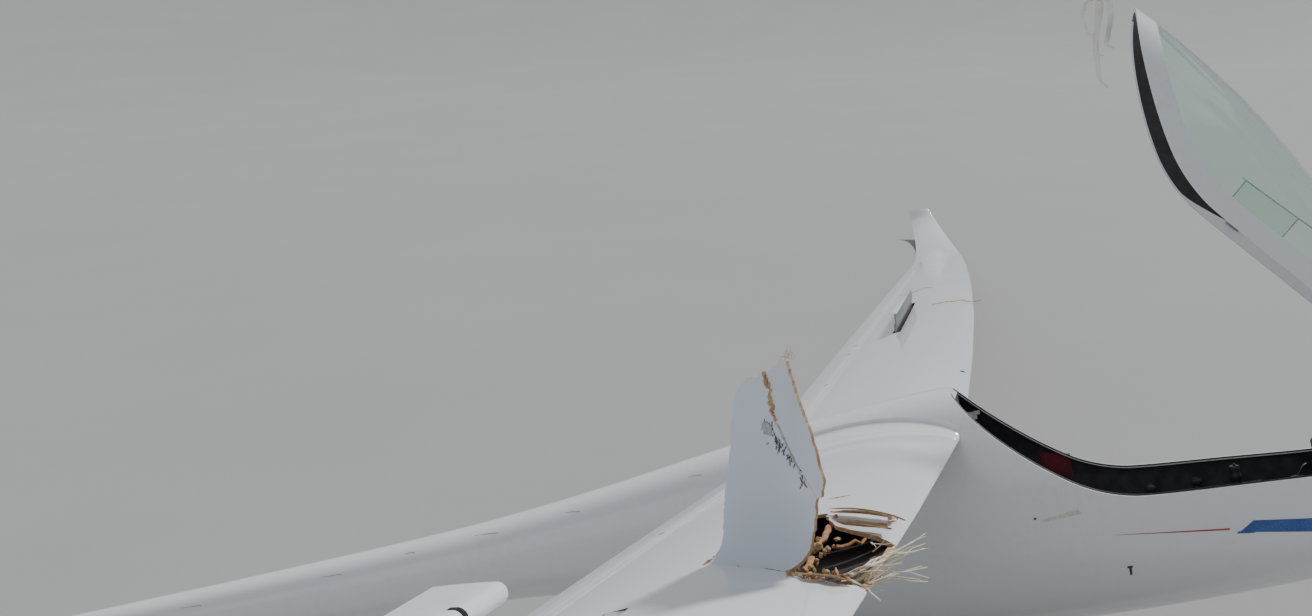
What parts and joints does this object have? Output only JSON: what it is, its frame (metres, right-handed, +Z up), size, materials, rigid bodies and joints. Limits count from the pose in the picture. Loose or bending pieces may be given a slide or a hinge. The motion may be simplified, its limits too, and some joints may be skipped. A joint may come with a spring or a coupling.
{
  "type": "sailplane glider",
  "caption": "T-tail single-seat sailplane parked on its wheels and a wing tip, canopy open, one wing torn open with a skin panel standing up.",
  "frame": {"origin": "middle of the footprint, on the ground", "axes": "+X towards the nose, +Y towards the left wing tip, +Z up"},
  "size_m": [7.127, 17.686, 3.1767],
  "materials": {
    "white": "glossy white gelcoat",
    "glass": "clear with a faint green tint",
    "liner": "dark cockpit liner",
    "cloth": "dark red cloth",
    "carbon": "black composite",
    "metal": "satin metal",
    "rubber": "black rubber"
  },
  "bodies": {
    "airframe": {"fuselage": "white", "seat_pan": "liner", "seat_back": "cloth", "headrest": "cloth", "instrument_panel": "liner", "control_stick": "carbon", "lever_rail": "metal", "rudder_pedals": "metal", "left_wing": "white", "left_wing_tip": "white", "right_wing": "white", "right_wing_tip": "white", "right_aileron": "white", "right_torn_panel": "white", "tailplane": "white", "main_fork": "metal", "left_gear_door": "white", "right_gear_door": "white", "tail_axle": "metal", "tow_hook": "metal", "probe": "metal"},
    "canopy": {"canopy_frame": "white", "canopy_glass": "glass"},
    "main_wheel": {"main_hub": "metal", "main_tyre": "rubber"},
    "tail_wheel": {"tail_hub": "metal", "tail_tyre": "rubber"},
    "left_flap_body": {"left_flap": "white"},
    "right_flap_body": {"right_flap": "white"},
    "left_aileron_body": {"left_aileron": "white"},
    "elevator_body": {"elevator": "white"},
    "rudder_body": {"rudder": "white"},
    "left_airbrake_body": {"left_airbrake": "white"},
    "right_airbrake_body": {"right_airbrake": "white"},
    "left_blade_body": {"left_airbrake_blade": "white"},
    "right_blade_body": {"right_airbrake_blade": "white"}
  },
  "joints": [
    {"name": "canopy_hinge", "type": "hinge", "parent": "airframe", "child": "canopy", "pos_m": [3.24348, -0.17694, 0.93739], "axis": [0.0182, 0.9866, -0.1624], "range_deg": [-45, 0]},
    {"name": "main_wheel_spin", "type": "hinge", "parent": "airframe", "child": "main_wheel", "pos_m": [1.33591, -0.26615, 0.18127], "axis": [0.0182, 0.9866, -0.1624], "continuous": true},
    {"name": "tail_wheel_spin", "type": "hinge", "parent": "airframe", "child": "tail_wheel", "pos_m": [-2.90995, -0.20341, 0.08599], "axis": [0.0182, 0.9866, -0.1624], "continuous": true},
    {"name": "rudder_hinge", "type": "hinge", "parent": "airframe", "child": "rudder_body", "pos_m": [-3.28832, -0.10504, 0.64116], "axis": [-0.192, 0.1628, 0.9678], "range_deg": [-28, 28]},
    {"name": "elevator_hinge", "type": "hinge", "parent": "airframe", "child": "elevator_body", "pos_m": [-3.31847, -0.007, 1.23343], "axis": [0.0182, 0.9866, -0.1624], "range_deg": [-22, 22]},
    {"name": "left_flap_hinge", "type": "hinge", "parent": "airframe", "child": "left_flap_body", "pos_m": [0.70958, 1.25071, 0.70513], "axis": [0.0124, 0.9938, -0.1108], "range_deg": [-8, 25]},
    {"name": "right_flap_hinge", "type": "hinge", "parent": "airframe", "child": "right_flap_body", "pos_m": [0.65855, -1.51166, 1.1598], "axis": [-0.024, -0.9767, 0.2135], "range_deg": [-25, 8]},
    {"name": "left_aileron_hinge", "type": "hinge", "parent": "airframe", "child": "left_aileron_body", "pos_m": [0.74072, 3.73852, 0.42764], "axis": [0.0124, 0.9938, -0.1108], "range_deg": [-22, 22]},
    {"name": "left_airbrake_slide", "type": "slide", "parent": "airframe", "child": "left_airbrake_body", "axis": [-0.11, 0.1634, 0.9804], "range_m": [-0.104, 0.004]},
    {"name": "left_blade_slide", "type": "slide", "parent": "airframe", "child": "left_blade_body", "axis": [-0.11, 0.1634, 0.9804], "range_m": [-0.052, 0.002]},
    {"name": "right_airbrake_slide", "type": "slide", "parent": "airframe", "child": "right_airbrake_body", "axis": [-0.11, 0.1634, 0.9804], "range_m": [0, 0.104]},
    {"name": "right_blade_slide", "type": "slide", "parent": "airframe", "child": "right_blade_body", "axis": [-0.11, 0.1634, 0.9804], "range_m": [0, 0.052]}
  ],
  "couplings": [
    {"joint": "left_blade_slide", "follows": "left_airbrake_slide", "ratio": 0.5},
    {"joint": "right_blade_slide", "follows": "right_airbrake_slide", "ratio": 0.5}
  ]
}
